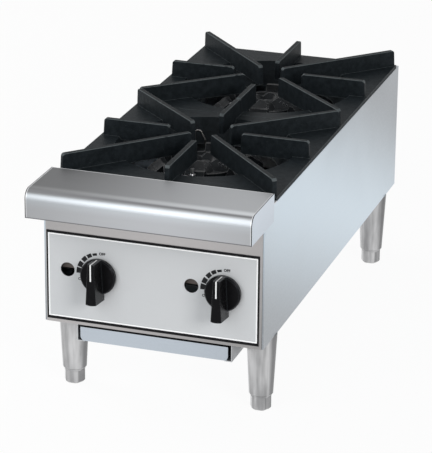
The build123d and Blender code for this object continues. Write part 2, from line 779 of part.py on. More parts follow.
def make_burner_head(name, place):
    base_z = bowl_z + seat
    flange_z = base_z + head_flange_thick
    top_z = star_z + ridge_height
    centre_y = burner_y[place]
    axis = Axis((0, centre_y, 0), (0, 0, 1))
    lobe_angles = [lobe_turn + step * 360 / lobe_count for step in range(lobe_count)]
    ridge_angles = [ridge_turn + step * 360 / ridge_count for step in range(ridge_count)]
    with BuildPart() as head:
        # Crown of lobes, sloping outwards and inwards from their tops
        with BuildSketch(*[radial_plane(place, angle, 0, base_z) for angle in lobe_angles]):
            with BuildLine():
                Polyline(
                    (-lobe_foot / 2, 0),
                    (lobe_foot / 2, 0),
                    (lobe_top / 2, head_flange_thick + lobe_height),
                    (-lobe_top / 2, head_flange_thick + lobe_height),
                    close=True,
                )
            make_face()
        extrude(amount=head_flange)
        with BuildSketch(Plane.XZ.offset(-centre_y)):
            with BuildLine():
                Polyline(
                    (lobe_inner, base_z),
                    (lobe_end, base_z),
                    (lobe_end, flange_z + lobe_wall),
                    (lobe_outer_top, flange_z + lobe_height),
                    (lobe_inner_top, flange_z + lobe_height),
                    (lobe_inner, flange_z + lobe_wall),
                    close=True,
                )
            make_face()
        revolve(axis=axis, mode=Mode.INTERSECT)
        # Flange, and the star's drum with its rim
        with BuildSketch(Plane.XZ.offset(-centre_y)):
            with BuildLine():
                Polyline(
                    (0, base_z),
                    (head_flange, base_z),
                    (head_flange, flange_z),
                    (star_radius, flange_z),
                    (star_radius, star_z),
                    (star_radius - star_rim, star_z),
                    (star_radius - star_rim - star_floor, star_z - star_floor),
                    (0, star_z - star_floor),
                    close=True,
                )
            make_face()
        revolve(axis=axis)
    with BuildPart() as star:
        # Ridges, each tent-shaped across, cut to a slope inside and outside its peak
        with BuildSketch(*[radial_plane(place, angle, 0, star_z) for angle in ridge_angles]):
            with BuildLine():
                Polyline(
                    (-ridge_foot / 2, -ridge_sink),
                    (ridge_foot / 2, -ridge_sink),
                    (ridge_crest / 2, ridge_height),
                    (-ridge_crest / 2, ridge_height),
                    close=True,
                )
            make_face()
        extrude(amount=star_radius)
        with BuildSketch(Plane.XZ.offset(-centre_y)):
            with BuildLine():
                Polyline(
                    (ridge_inner, star_z - ridge_sink),
                    (ridge_peak, top_z),
                    (ridge_shoulder, top_z),
                    (star_radius - star_rim / 2, star_z + seat),
                    (star_radius - star_rim / 2, star_z - ridge_sink),
                    close=True,
                )
            make_face()
        revolve(axis=axis, mode=Mode.INTERSECT)
    with BuildPart() as whole:
        add(head.part)
        add(star.part)
        # Centre button
        with BuildSketch(Plane.XY.offset(star_z - ridge_sink)):
            with Locations((0, centre_y)):
                Circle(button_radius)
        extrude(amount=ridge_sink + button_rise, taper=button_taper)
        # Ports through the ridges and in the lobes' outer ends
        with BuildSketch(*[side_plane(place, angle, star_z) for angle in ridge_angles]):
            for step in range(3):
                with Locations((port_start + step * port_pitch, port_lift - step * port_drop)):
                    Circle(port_radius)
        extrude(amount=ridge_foot, both=True, mode=Mode.SUBTRACT)
        with BuildSketch(*[radial_plane(place, angle, lobe_outer_top, flange_z) for angle in lobe_angles]):
            with Locations((0, lobe_port_height)):
                with GridLocations(lobe_port_pitch, 0, 3, 1):
                    Circle(port_radius)
        extrude(amount=lobe_end - lobe_outer_top, mode=Mode.SUBTRACT)
        # Spigot that drops into the bowl
        with BuildSketch(Plane.XY.offset(base_z)):
            with Locations((0, centre_y)):
                Circle(spigot_radius)
                Circle(spigot_radius - spigot_wall, mode=Mode.SUBTRACT)
        extrude(amount=-spigot_depth)
    save(whole.part, name)


for place in burner_y:
    make_burner_body(f"burner_body_{place}", place)
    make_air_shutter(f"air_shutter_{place}", place)
    make_burner_head(f"burner_head_{place}", place)


# Pilots: a small valve on the manifold, a bent tube and a nozzle on a bright bracket
pilot_barrel_z = manifold_z + pipe_radius + pilot_valve_lift
nozzle_foot_z = body_top + pilot_rise - nozzle_height
strip_z = bowl_z - lug_drop


def make_pilot_valve(name, x):
    start_y = manifold_y - pilot_valve_length / 2
    with BuildPart() as valve:
        with BuildSketch(Plane.XY.offset(manifold_z + pipe_radius - nipple_sink)):
            with Locations((x, manifold_y)):
                Circle(pilot_valve_radius)
        extrude(amount=nipple_sink + pilot_valve_lift)
        with BuildSketch(facing_rear(x, start_y, pilot_barrel_z)):
            RegularPolygon(pilot_barrel_across / 2, 6)
        extrude(amount=pilot_valve_length)
        with BuildSketch(facing_front(x, start_y, pilot_barrel_z)):
            Circle(pilot_valve_radius / 2)
        extrude(amount=pilot_valve_radius)
    save(valve.part, name)


def make_pilot_tube(name, x, bends):
    # From the pilot valve's rear end through the given bends to the nozzle's foot.
    start = (x, manifold_y + pilot_valve_length / 2, pilot_barrel_z)
    with BuildPart() as tube:
        with BuildLine() as route:
            FilletPolyline(start, *bends, radius=pilot_bend)
        with BuildSketch(facing_rear(*start)):
            Circle(pilot_tube_radius)
        sweep(path=route.wire())
    save(tube.part, name)


def make_pilot_burner(name, place):
    # Nozzle with a socket for its tube, and a flame flag, on one folded strip on the burner bowl's lug.
    nozzle_x = nozzle_xs[place]
    nozzle_y = burner_y[place] - pilot_ring
    strip_y = nozzle_y + nozzle_across / 2
    tab_z = nozzle_foot_z + nozzle_across / 2
    with BuildPart() as pilot:
        with BuildSketch(Plane.XY.offset(nozzle_foot_z)):
            with Locations((nozzle_x, nozzle_y)):
                RegularPolygon(nozzle_across / 2, 6, major_radius=False)
        extrude(amount=nozzle_height / 2)
        with BuildSketch(Plane.XY.offset(nozzle_foot_z)):
            with Locations((nozzle_x, nozzle_y)):
                Circle(nozzle_across / 3)
        extrude(amount=nozzle_height)
        with BuildSketch(Plane.XY.offset(nozzle_foot_z)):
            with Locations((nozzle_x, nozzle_y)):
                Circle(pilot_tube_radius + stem_fit)
        extrude(amount=nozzle_socket + seat, mode=Mode.SUBTRACT)
        # Upright strip behind the nozzle, its foot on the lug
        box_between((-strip_left, strip_y, strip_z), (strip_right, strip_y + sheet, tab_z))
        box_between(
            (-lug_width / 2, strip_y, strip_z),
            (lug_width / 2, burner_y[place] - bowl_radius - seat, strip_z + sheet),
        )
        # Tab and flag at the strip's left end
        tab_low = (-strip_left, nozzle_y - flag_reach, tab_z - sheet)
        box_between(tab_low, (flag_width - strip_left, strip_y, tab_z))
        flag_x = flag_width / 2 - strip_left
        flag_low = (flag_x, nozzle_y - flag_reach, tab_z - sheet)
        box_between(flag_low, (flag_x + sheet, strip_y, tab_z + flag_height))
    save(pilot.part, name)


def nozzle_foot(place):
    # The last bends of a pilot tube, up to the foot of its nozzle.
    x, y = nozzle_xs[place], burner_y[place] - pilot_ring
    return [(x, y, pilot_barrel_z - pilot_dip), (x, y, nozzle_foot_z + nozzle_socket)]


front_bends = [
    (pilot_xs["front"], burner_y["front"] - pilot_ring - 2 * pilot_bend, pilot_barrel_z),
    *nozzle_foot("front"),
]
loop_left_x = pilot_xs["rear"]
loop_right_x = loop_left_x + loop_width
loop_y = burner_y["front"] + loop_ring
low_z = pilot_barrel_z - pilot_dip
loop_z = body_top - loop_below
rear_bends = [
    (loop_left_x, manifold_y + pilot_valve_length, pilot_barrel_z),
    (loop_left_x, manifold_y + 3 * pilot_valve_length, low_z),
    (loop_left_x, loop_y, low_z),
    (loop_left_x, loop_y, loop_z),
    (loop_left_x + loop_top_width, loop_y, loop_z),
    (loop_right_x, loop_y, loop_z - loop_shoulder),
    (loop_right_x, loop_y, low_z),
    (nozzle_xs["rear"], (loop_y + burner_y["rear"] - pilot_ring) / 2, low_z),
    *nozzle_foot("rear"),
]
make_pilot_tube("pilot_tube_front", pilot_xs["front"], front_bends)
make_pilot_tube("pilot_tube_rear", pilot_xs["rear"], rear_bends)

for place, pilot_x in pilot_xs.items():
    make_pilot_valve(f"pilot_valve_{place}", pilot_x)
    make_pilot_burner(f"pilot_burner_{place}", place)


# Heat shield between the valves and the burner box, notched over the mixing tubes
shield_top = body_height - shield_below
with BuildPart() as heat_shield:
    with BuildSketch(Plane.XZ.offset(-(panel_y + shield_y))):
        with Locations((0, body_bottom + shield_bottom)):
            Rectangle(2 * inner_x - 2 * seam, shield_top - shield_bottom, align=(Align.CENTER, Align.MIN))
        with Locations(*stem_places):
            Circle(shield_notch, mode=Mode.SUBTRACT)
        with Locations(*[(x, body_bottom + shield_bottom) for x in knob_xs.values()]):
            Rectangle(2 * shield_notch, 2 * (knob_height - shield_bottom), mode=Mode.SUBTRACT)
        with Locations(*[(x, manifold_z + pipe_radius + pilot_valve_lift) for x in pilot_xs.values()]):
            Circle(shield_hole, mode=Mode.SUBTRACT)
        with Locations((supply_x, manifold_z)):
            Circle(pipe_radius + fitting_wall + shield_clear, mode=Mode.SUBTRACT)
    extrude(amount=-sheet)
    shield_low = (-inner_x + seam, panel_y + shield_y, body_bottom + shield_top - sheet)
    box_between(shield_low, (inner_x - seam, panel_y + shield_y + shield_flange, body_bottom + shield_top))
save(heat_shield.part, "heat_shield")

# Sight baffles: a flange on the front panel's back, and a tab that covers the upper half of each hole
with BuildPart() as sight_baffles:
    for x, z in sight_places:
        panel_back_y = panel_y + sheet
        tab_y = panel_back_y + baffle_back
        flange_low_z = z + sight_radius + baffle_above
        ends = (x - baffle_width / 2, x + baffle_width / 2)
        flange_high = (ends[1], panel_back_y + sheet, flange_low_z + baffle_lap)
        box_between((ends[0], panel_back_y, flange_low_z), flange_high)
        box_between((ends[0], panel_back_y, flange_low_z), (ends[1], tab_y + sheet, flange_low_z + sheet))
        box_between((ends[0], tab_y, z), (ends[1], tab_y + sheet, flange_low_z + sheet))
save(sight_baffles.part, "sight_baffles")


# Cross members: shallow channels on the gussets, over the legs' studs
def make_cross_member(name, y):
    cross_x = inner_x - seam
    low_y = y - cross_width / 2
    high_y = y + cross_width / 2
    with BuildPart() as member:
        box_between((-cross_x, low_y, cross_z), (cross_x, high_y, cross_z + sheet))
        for edge in (low_y, high_y - sheet):
            box_between((-cross_x, edge, cross_z), (cross_x, edge + sheet, cross_z + cross_flange))
        with Locations(*[(x, y, cross_z) for x in (-leg_x, leg_x)]):
            Cylinder(stud_hole_radius, 4 * sheet, mode=Mode.SUBTRACT)
    save(member.part, name)


make_cross_member("cross_member_front", panel_y + leg_front)
make_cross_member("cross_member_rear", back_y - leg_back)

with BuildPart() as leg_gussets:
    for x, y in leg_places.values():
        side = 1 if x > 0 else -1
        low = (side * (rail_x + sheet + rail_cap), y - gusset_length / 2, gusset_z)
        high = (side * (inner_x - seam), y + gusset_length / 2, gusset_z + gusset_thick)
        box_between(low, high)
    with Locations(*[(x, y, gusset_z) for x, y in leg_places.values()]):
        Cylinder(stud_hole_radius, 4 * gusset_thick, mode=Mode.SUBTRACT)
save(leg_gussets.part, "leg_gussets")

with BuildPart() as leg_nuts:
    with BuildSketch(Plane.XY.offset(cross_z + sheet)):
        with Locations(*leg_places.values()):
            RegularPolygon(nut_across / 2, 6, major_radius=False)
            Circle(stud_radius + stem_fit, mode=Mode.SUBTRACT)
    extrude(amount=nut_height)
save(leg_nuts.part, "leg_nuts")


# Legs: tapered castings with a shoulder above a round collar, a stud on top and a bore below
def make_leg(name, x, y):
    with BuildPart() as leg:
        with BuildSketch(Plane.XZ.offset(-y)):
            with BuildLine():
                Polyline(
                    (x + leg_low_radius, shoulder_top),
                    (x + leg_top_radius, body_bottom),
                    (x + stud_radius, body_bottom),
                    (x + stud_radius, body_bottom + stud_rise),
                    (x, body_bottom + stud_rise),
                    (x, collar_bottom),
                    (x + collar_radius, collar_bottom),
                    (x + collar_radius, collar_bottom + collar_height),
                )
                TangentArc(
                    (x + collar_radius, collar_bottom + collar_height),
                    (x + leg_low_radius, shoulder_top),
                    tangent=(shoulder_lean, 1, 0),
                )
            make_face()
        revolve(axis=Axis((x, y, 0), (0, 0, 1)))
        with Locations((x, y, collar_bottom)):
            Hole(foot_stem_radius + foot_fit, depth=foot_bore)
    save(leg.part, name)


def make_foot(name, x, y):
    # Rounded hexagon with a stem up into the leg.
    foot_top = collar_bottom - seat
    with BuildPart() as foot:
        with BuildSketch():
            with Locations((x, y)):
                RegularPolygon(foot_across / 2, 6, major_radius=False)
                Circle(foot_round, mode=Mode.INTERSECT)
        extrude(amount=foot_top)
        chamfer(foot.edges().group_by(Axis.Z)[0], length=foot_chamfer)
        with BuildSketch(Plane.XY.offset(foot_top)):
            with Locations((x, y)):
                Circle(foot_stem_radius)
        extrude(amount=foot_stem_length)
    save(foot.part, name)


for place, (x, y) in leg_places.items():
    make_leg(f"leg_{place}", x, y)
    make_foot(f"foot_{place}", x, y)


# Tray rails: an upright web with a lip turned in below and a flange turned out above
def make_tray_rail(name, side):
    bottom_z = body_bottom - rail_drop
    start_y = panel_y + rail_start
    end_y = back_y - rail_back
    with BuildPart() as rail:
        box_between((side * rail_x, start_y, bottom_z), (side * (rail_x + sheet), end_y, gusset_z + sheet))
        box_between((side * (rail_x - rail_lip), start_y, bottom_z), (side * rail_x, end_y, bottom_z + sheet))
        cap_low = (side * rail_x, start_y, gusset_z)
        box_between(cap_low, (side * (rail_x + sheet + rail_cap - seam), end_y, gusset_z + sheet))
        # Stop for the tray at the rail's rear end
        stop_low = (side * (rail_x - rail_lip), end_y - sheet, bottom_z)
        box_between(stop_low, (side * rail_x, end_y, bottom_z + tray_wall_height))
    save(rail.part, name)


make_tray_rail("tray_rail_left", -1)
make_tray_rail("tray_rail_right", 1)

# Crumb tray: a shallow pan with a front lip whose lower corners are round
tray_bottom = body_bottom - rail_drop + sheet + seat
tray_front_y = panel_y + rail_start - seat
tray_rear_y = back_y - rail_back - tray_stop_gap
tray_side_x = tray_half_width - tray_inset
with BuildPart() as crumb_tray:
    tray_low = (-tray_side_x, tray_front_y, tray_bottom)
    box_between(tray_low, (tray_side_x, tray_rear_y, tray_bottom + tray_wall_height))
    box_between(
        (-tray_side_x + tray_sheet, tray_front_y + tray_sheet, tray_bottom + tray_sheet),
        (tray_side_x - tray_sheet, tray_rear_y - tray_sheet, tray_bottom + 2 * tray_wall_height),
        mode=Mode.SUBTRACT,
    )
    with BuildSketch(Plane.XZ.offset(-tray_front_y)) as lip_outline:
        with Locations((0, tray_bottom)):
            Rectangle(2 * tray_half_width, tray_lip_height, align=(Align.CENTER, Align.MIN))
        fillet(lip_outline.vertices().group_by(Axis.Y)[0], tray_lip_round)
    extrude(amount=tray_sheet)
save(crumb_tray.part, "crumb_tray")


# Cross rests that carry the grates' edges, hung between the side panels' top flanges.
# The middle one is deeper and divides the space below the grates.
rest_places = {
    "front": grate_y["front"] + rest_width / 2,
    "middle": grate_y["rear"] - grate_gap / 2,
    "rear": grate_y["rear"] + grate_length - rest_width / 2,
}
rest_x = side_x - top_flange - seam
for place, y in rest_places.items():
    rest_height = rest_heights[place]
    with BuildPart() as grate_rest:
        with BuildSketch(Plane.YZ.offset(-rest_x)):
            with Locations((y, body_top)):
                Rectangle(rest_width, rest_height, align=(Align.CENTER, Align.MAX))
            with Locations((y, body_top - sheet)):
                inside = rest_width - 2 * sheet
                Rectangle(inside, rest_height, align=(Align.CENTER, Align.MAX), mode=Mode.SUBTRACT)
        extrude(amount=2 * rest_x)
        # Ends reach under the flanges
        for side in (-1, 1):
            low = (side * (rest_x - rest_hook), y - rest_width / 2 + sheet, body_top - 2 * sheet - seam)
            high = (side * (side_x - rest_tab_gap), y + rest_width / 2 - sheet, body_top - sheet - seam)
            box_between(low, high)
    save(grate_rest.part, f"grate_rest_{place}")


# Burner supports: channels between the side panels, under the burners' feet
support_x = inner_x - seam
support_top = body_bottom + support_rise + support_height
for place, y in burner_y.items():
    with BuildPart() as support:
        with BuildSketch(Plane.YZ.offset(-support_x)):
            with Locations((y, support_top)):
                Rectangle(support_width, support_height, align=(Align.CENTER, Align.MAX))
            with Locations((y, support_top - sheet)):
                inside = support_width - 2 * sheet
                Rectangle(inside, support_height, align=(Align.CENTER, Align.MAX), mode=Mode.SUBTRACT)
        extrude(amount=2 * support_x)
    save(support.part, f"burner_support_{place}")


# Grates: one casting each, a plate with a round opening, a bowl below it and eight ribs on it.
# The opening's centre stands over the burner; the two grates are the same casting, turned round.
plate_bottom = body_top + seat
plate_top = plate_bottom + plate_thick


def make_rib(start, end):
    # An upright rib from its inner tip to its outer end, both given in plan.
    length = hypot(end[0] - start[0], end[1] - start[1])
    angle = atan2(end[1] - start[1], end[0] - start[0])
    out = (cos(angle), sin(angle), 0)
    across = (sin(angle), -cos(angle), 0)
    plane = Plane(origin=(start[0], start[1], plate_bottom), x_dir=out, z_dir=across)
    with BuildPart(mode=Mode.PRIVATE) as rib:
        with BuildSketch(plane) as outline:
            with BuildLine():
                Polyline(
                    (0, 0),
                    (length, 0),
                    (length - rib_draft, rib_top),
                    (rib_draft, rib_top),
                    close=True,
                )
            make_face()
            fillet(outline.vertices().group_by(Axis.Y)[-1], rib_corner)
        extrude(amount=rib_thick / 2, both=True)
        flat_sides = rib.faces().filter_by(lambda face: abs(face.normal_at().dot(Vector(*across))) > 0.99)
        long_edges = [
            edge
            for face in flat_sides
            for edge in face.edges()
            if edge.center().Z > plate_bottom + rib_edge
        ]
        fillet(long_edges, radius=rib_edge)
    return rib.part


def make_grate(name, place):
    turn = 1 if place == "front" else -1
    middle_y = grate_y[place] + grate_length / 2
    centre_y = burner_y[place]
    corner_x = grate_width / 2 - rib_margin
    outer_y = middle_y - turn * (grate_length / 2 - rib_margin)
    joint_y = middle_y + turn * grate_length / 2
    ribs = []
    for side in (-1, 1):
        for corner_y, tip in ((outer_y, rib_tip["corner"]), (joint_y, rib_tip["inner_corner"])):
            corner = (side * corner_x, corner_y)
            reach = hypot(corner[0], corner[1] - centre_y)
            start = (corner[0] * tip / reach, centre_y + (corner[1] - centre_y) * tip / reach)
            ribs.append(make_rib(start, corner))
        ribs.append(make_rib((side * rib_tip["side"], centre_y), (side * corner_x, centre_y)))
    ribs.append(make_rib((0, centre_y - turn * rib_tip["front"]), (0, outer_y)))
    ribs.append(make_rib((0, centre_y + turn * rib_tip["rear"]), (0, joint_y)))
    with BuildPart() as grate:
        with BuildSketch(Plane.XY.offset(plate_bottom)):
            with Locations((0, middle_y)):
                Rectangle(grate_width, grate_length)
            with Locations((0, centre_y)):
                Circle(opening_radius, mode=Mode.SUBTRACT)
        extrude(amount=plate_thick)
        # Bowl: a cone that narrows downwards from the opening
        with BuildSketch(Plane.XZ.offset(-centre_y)):
            with BuildLine():
                Polyline(
                    (opening_radius, plate_top),
                    (opening_radius + bowl_shell, plate_bottom),
                    (bowl_rim_radius + bowl_shell, plate_top - bowl_drop),
                    (bowl_rim_radius, plate_top - bowl_drop),
                    close=True,
                )
            make_face()
        revolve(axis=Axis((0, centre_y, 0), (0, 0, 1)))
        for rib in ribs:
            add(rib)
        # Ribs end at the joint between the grates
        joint_low = (-grate_width, joint_y, plate_bottom - sheet)
        joint_high = (grate_width, joint_y + turn * opening_border, plate_bottom + 2 * rib_top)
        box_between(joint_low, joint_high, mode=Mode.SUBTRACT)
    save(grate.part, name)


make_grate("grate_front", "front")
make_grate("grate_rear", "rear")
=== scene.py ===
import bpy
import bmesh
import json
from math import cos, pi, radians, sin
from mathutils import Matrix, Vector


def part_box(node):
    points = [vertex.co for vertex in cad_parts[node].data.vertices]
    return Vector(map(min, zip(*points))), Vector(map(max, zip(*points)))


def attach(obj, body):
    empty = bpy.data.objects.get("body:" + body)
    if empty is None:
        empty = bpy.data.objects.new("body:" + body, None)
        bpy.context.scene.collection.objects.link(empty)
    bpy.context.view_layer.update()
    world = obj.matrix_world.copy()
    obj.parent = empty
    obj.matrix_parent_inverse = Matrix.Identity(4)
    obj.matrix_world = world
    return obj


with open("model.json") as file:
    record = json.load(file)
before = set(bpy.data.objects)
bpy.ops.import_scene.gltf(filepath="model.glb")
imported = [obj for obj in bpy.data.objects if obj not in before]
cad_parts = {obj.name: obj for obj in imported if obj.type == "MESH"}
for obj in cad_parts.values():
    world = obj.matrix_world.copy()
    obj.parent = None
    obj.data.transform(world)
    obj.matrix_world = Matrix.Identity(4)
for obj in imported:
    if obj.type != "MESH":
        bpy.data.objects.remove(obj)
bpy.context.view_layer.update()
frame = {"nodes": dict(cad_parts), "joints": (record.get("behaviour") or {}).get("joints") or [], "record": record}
nodes = frame["nodes"]
print("frame loaded:", len(nodes), "nodes")


# Shader helpers
facingLimits = {"sloped": 0.15, "level": 0.96, "upward": 0.5}  # upward part of a face's direction


class Wire:
    # One output socket, so that shader sums are written as plain Python.
    def __init__(self, finish, socket):
        self.finish = finish
        self.socket = socket

    def sum(self, operation, *values):
        return self.finish.add("Math", {"operation": operation}, dict(enumerate(values)))

    def __add__(self, other):
        return self.sum("ADD", self, other)

    def __sub__(self, other):
        return self.sum("SUBTRACT", self, other)

    def __rsub__(self, other):
        return self.sum("SUBTRACT", other, self)

    def __mul__(self, other):
        return self.sum("MULTIPLY", self, other)

    def __lt__(self, other):
        return self.sum("LESS_THAN", self, other)

    def __gt__(self, other):
        return self.sum("GREATER_THAN", self, other)

    def __or__(self, other):
        return self.sum("MAXIMUM", self, other)

    def __and__(self, other):
        return self.sum("MINIMUM", self, other)

    def __abs__(self):
        return self.sum("ABSOLUTE", self)

    __radd__ = __add__
    __rmul__ = __mul__


class Finish:
    # One material, or the world, and its node tree.
    def __init__(self, name, owner=None):
        self.material = owner or bpy.data.materials.new(name)
        self.material.use_nodes = True
        self.tree = self.material.node_tree
        self.tree.nodes.clear()

    def add(self, kind, settings=None, values=None, output=0):
        made = self.tree.nodes.new("ShaderNode" + kind)
        for name, value in (settings or {}).items():
            setattr(made, name, value)
        for name, value in (values or {}).items():
            entry = made.inputs[name]
            if isinstance(value, Wire):
                self.tree.links.new(value.socket, entry)
            elif entry.type == "RGBA":
                entry.default_value = (*value, 1)
            else:
                entry.default_value = value
        return Wire(self, made.outputs[output]) if made.outputs else None

    def axes(self):
        # metres along X, Y and Z in the model's own frame
        place = self.add("TexCoord", output="Object")
        split = self.add("SeparateXYZ", values={0: place})
        return [Wire(self, split.socket.node.outputs[name]) for name in "XYZ"]

    def noise(self, scale, detail=3, stretch=(1, 1, 1), roughness=0.5):
        place = self.add("TexCoord", output="Object")
        stretched = self.add("Mapping", values={"Vector": place, "Scale": stretch})
        return self.add("TexNoise", values={"Vector": stretched, "Scale": scale, "Detail": detail,
                                            "Roughness": roughness})

    def between(self, value, low, high):
        # 0 below low and 1 above high, with a soft start and end
        return self.add("MapRange", {"interpolation_type": "SMOOTHSTEP"},
                        {"Value": value, "From Min": low, "From Max": high})

    def blend(self, factor, first, second):
        return self.add("Mix", {"data_type": "RGBA"}, {0: factor, 6: first, 7: second}, output=2)

    def bump(self, height, distance, strength=1.0):
        return self.add("Bump", values={"Height": height, "Distance": distance, "Strength": strength})

    def edges(self, radius, low, high):
        # 1 along edges and corners, 0 on flat faces
        rounded = self.add("Bevel", {"samples": 6}, {"Radius": radius})
        flat = self.add("NewGeometry", output="Normal")
        match = self.add("VectorMath", {"operation": "DOT_PRODUCT"}, {0: rounded, 1: flat}, output="Value")
        return self.between(1 - match, low, high)

    def facing(self, axis):
        # how far the surface faces along one axis, from -1 to 1
        return self.add("SeparateXYZ", values={0: self.add("NewGeometry", output="Normal")}, output=axis)

    def rounded(self, foot):
        # 1 on the rounded upper edges that stand higher than foot
        upward = self.facing("Z")
        sloped = (upward > facingLimits["sloped"]) & (upward < facingLimits["level"])
        return sloped & (self.axes()[2] > foot)

    def level(self, foot):
        # 1 on level faces that stand higher than foot
        return (self.facing("Z") > facingLimits["level"]) & (self.axes()[2] > foot)

    def seen(self):
        # 1 where the camera, a reflection or a clear piece shows this surface
        kinds = ("Camera", "Glossy", "Transmission")
        rays = [self.add("LightPath", output=f"Is {kind} Ray") for kind in kinds]
        return rays[0] | rays[1] | rays[2]

    def surface(self, values):
        shader = self.add("BsdfPrincipled", values=values)
        self.add("OutputMaterial", values={"Surface": shader})
        return self.material


# Metals, paints and plastics: a noise is given as its scale and its detail
brushLook = {"streaks": (1, 4), "streakRoughness": 0.6, "clouds": (9, 3), "cloudRough": 0.08,
             "dust": (240, 2), "dustRelief": 0.3, "mottle": (330, 2), "mottleSpan": (0.35, 0.75),
             "sheetDrift": 0.03, "ledgeDrift": 0.04, "rimSpan": (0.8, 0.5)}


def brushed(f, look):
    # streaks along the grain, faint clouds, and the roughness and relief that they give
    streaks = f.noise(*brushLook["streaks"], look["grain"], brushLook["streakRoughness"])
    clouds = f.noise(*brushLook["clouds"])
    rough = look["rough"] + (streaks - 0.5) * look["spread"] + (clouds - 0.5) * brushLook["cloudRough"]
    dust = f.noise(*brushLook["dust"]) * brushLook["dustRelief"]
    return streaks, clouds, rough, f.bump(streaks + dust, look["relief"])


def sheetSteel(name, look):
    # Brushed sheet: a broad painted sheen across it, standing in for a reflection, fine streaks along its grain
    # and faint clouds
    f = Finish(name)
    streaks, clouds, rough, relief = brushed(f, look)
    x, y, z = f.axes()
    slope = look["slope"]
    # painted sheen: the base colour runs from dark to light along a band across the sheet, a painted reflection
    across = x * slope[0] + y * slope[1] + z * slope[2] + (clouds - 0.5) * brushLook["sheetDrift"]
    paintedSheen = f.between(abs(across - look["crest"]), look["reach"], 0.0)
    shade = f.blend(paintedSheen, look["dark"], look["light"])
    mottle = f.between(f.noise(*brushLook["mottle"]), *brushLook["mottleSpan"]) * look["mottle"]
    shade = f.blend(streaks * look["streak"] + mottle, shade, look["pale"])
    # painted shade: the cap's rim faces, which do not face sideways, are painted near black for the shadow in the
    # seam beside the ledge
    if "rim" in look:
        shade = f.blend(f.between(abs(f.facing("X")), *brushLook["rimSpan"]), shade, look["rim"])
    return f.surface({"Base Color": shade, "Metallic": look["metal"], "Roughness": rough, "Normal": relief})


def ledgeSteel(name, look):
    # The ledge, painted as it reflects: its top painted darker on the left, lighter on the right and near its
    # front edge, a painted highlight on the roll, a painted dark band between the top and that highlight, painted
    # bright edge lines and a painted shadow at the hem
    f = Finish(name)
    streaks, clouds, rough, relief = brushed(f, look)
    x, y, z = f.axes()
    # painted reflection: the top is lighter towards the right and towards its front edge
    sideways = f.between(x + (clouds - 0.5) * brushLook["ledgeDrift"], *look["span"])
    rear, near = (f.blend(sideways, *look[place]) for place in ("rear", "near"))
    top = f.blend(f.between(y, *look["nearEdge"]), rear, near)
    # painted highlight: the roll and the front are lightest around the crest and lighter up towards the roll
    middle = f.between(abs(x - look["crest"]), look["reach"], 0.0)
    front, roll = (f.blend(middle, *look[place]) for place in ("front", "roll"))
    front = f.blend(f.between(z, *look["rollFoot"]), front, roll)
    shade = f.blend(f.between(z, *look["rollTop"]), front, top)
    shade = f.blend(streaks * look["streak"], shade, look["pale"])
    # painted dark band across the roll, a painted reflection
    shade = f.blend(f.between(abs(y - look["fold"]), look["foldReach"], 0.0), shade, look["foldShade"])
    # painted highlight: thin bright lines along the ends and along the rear edge of the top
    rearEdge = f.between(y, *look["rearEdge"]) & (f.facing("Z") > facingLimits["upward"])
    shade = f.blend(f.between(abs(x), *look["endEdge"]) | rearEdge, shade, look["edgeHighlight"])
    # painted shadow along the hem at the foot of the front
    shade = f.blend(f.between(z, *look["hem"]), look["hemPaintedShadow"], shade)
    return f.surface({"Base Color": shade, "Metallic": 1.0, "Roughness": rough, "Normal": relief})


ironLook = {"pitDetail": 5, "pitRoughness": 0.65, "lumpDetail": 3, "tone": (0.35, 0.65),
            "speckScale": 0.8, "speckSpan": (0.72, 0.80), "speckGlow": 0.3,
            "wornLitEdge": (0.02, 0.22), "wornLitLumps": (0.15, 0.5), "leftSpan": (-0.25, -0.75),
            "pitRough": 0.25, "pitRelief": 0.6}


def castIron(name, look):
    # Pitted dark iron: bright along its edges, partly worn and partly a painted highlight, with a few bright
    # specks; level tops painted dark as painted shade, and faces turned left given painted light
    f = Finish(name)
    pits = f.noise(look["pits"], ironLook["pitDetail"], roughness=ironLook["pitRoughness"])
    lumps = f.noise(look["lumps"], ironLook["lumpDetail"])
    shade = f.blend(f.between(pits * 0.5 + lumps * 0.5, *ironLook["tone"]), look["dark"], look["light"])
    specks = f.between(f.noise(look["pits"] * ironLook["speckScale"], 1), *ironLook["speckSpan"])
    # bright edges and rounded rib edges: partly wear, partly a painted highlight
    wornAndLit = f.edges(look["edge"], *ironLook["wornLitEdge"]) | f.rounded(look["ribFoot"])
    wornAndLit = wornAndLit * f.between(lumps, *ironLook["wornLitLumps"])
    # painted light: faces turned left are painted towards the bright colour
    litLeft = f.between(f.facing("X"), *ironLook["leftSpan"])
    # painted shade: level tops above ribTop are set to the dark colour
    shade = f.blend(f.level(look["ribTop"]), shade, look["dark"])
    shade = f.blend(litLeft * look["paintedLeftLight"], shade, look["bright"])
    shade = f.blend(wornAndLit * look["wearAndHighlight"] | specks * ironLook["speckGlow"], shade, look["bright"])
    rough = look["rough"] + (pits - 0.5) * ironLook["pitRough"]
    relief = f.bump(pits * ironLook["pitRelief"] + lumps, look["relief"])
    return f.surface({"Base Color": shade, "Roughness": rough, "Specular IOR Level": look["shine"],
                      "Normal": relief})


castLook = {"skin": (420, 4), "skinRoughness": 0.6, "skinRelief": 0.5, "patches": (38, 3),
            "patchStretch": (1, 1, 0.35), "patchShare": 0.6, "patchRough": 0.2, "tone": (0.3, 0.7),
            "dragNoise": (1, 3), "dragRelief": 0.6, "rightSpan": (0.72, 0.97), "rightShadeDepth": 0.8,
            "leftSpan": (-0.60, -0.95), "leftLightDepth": 0.7}


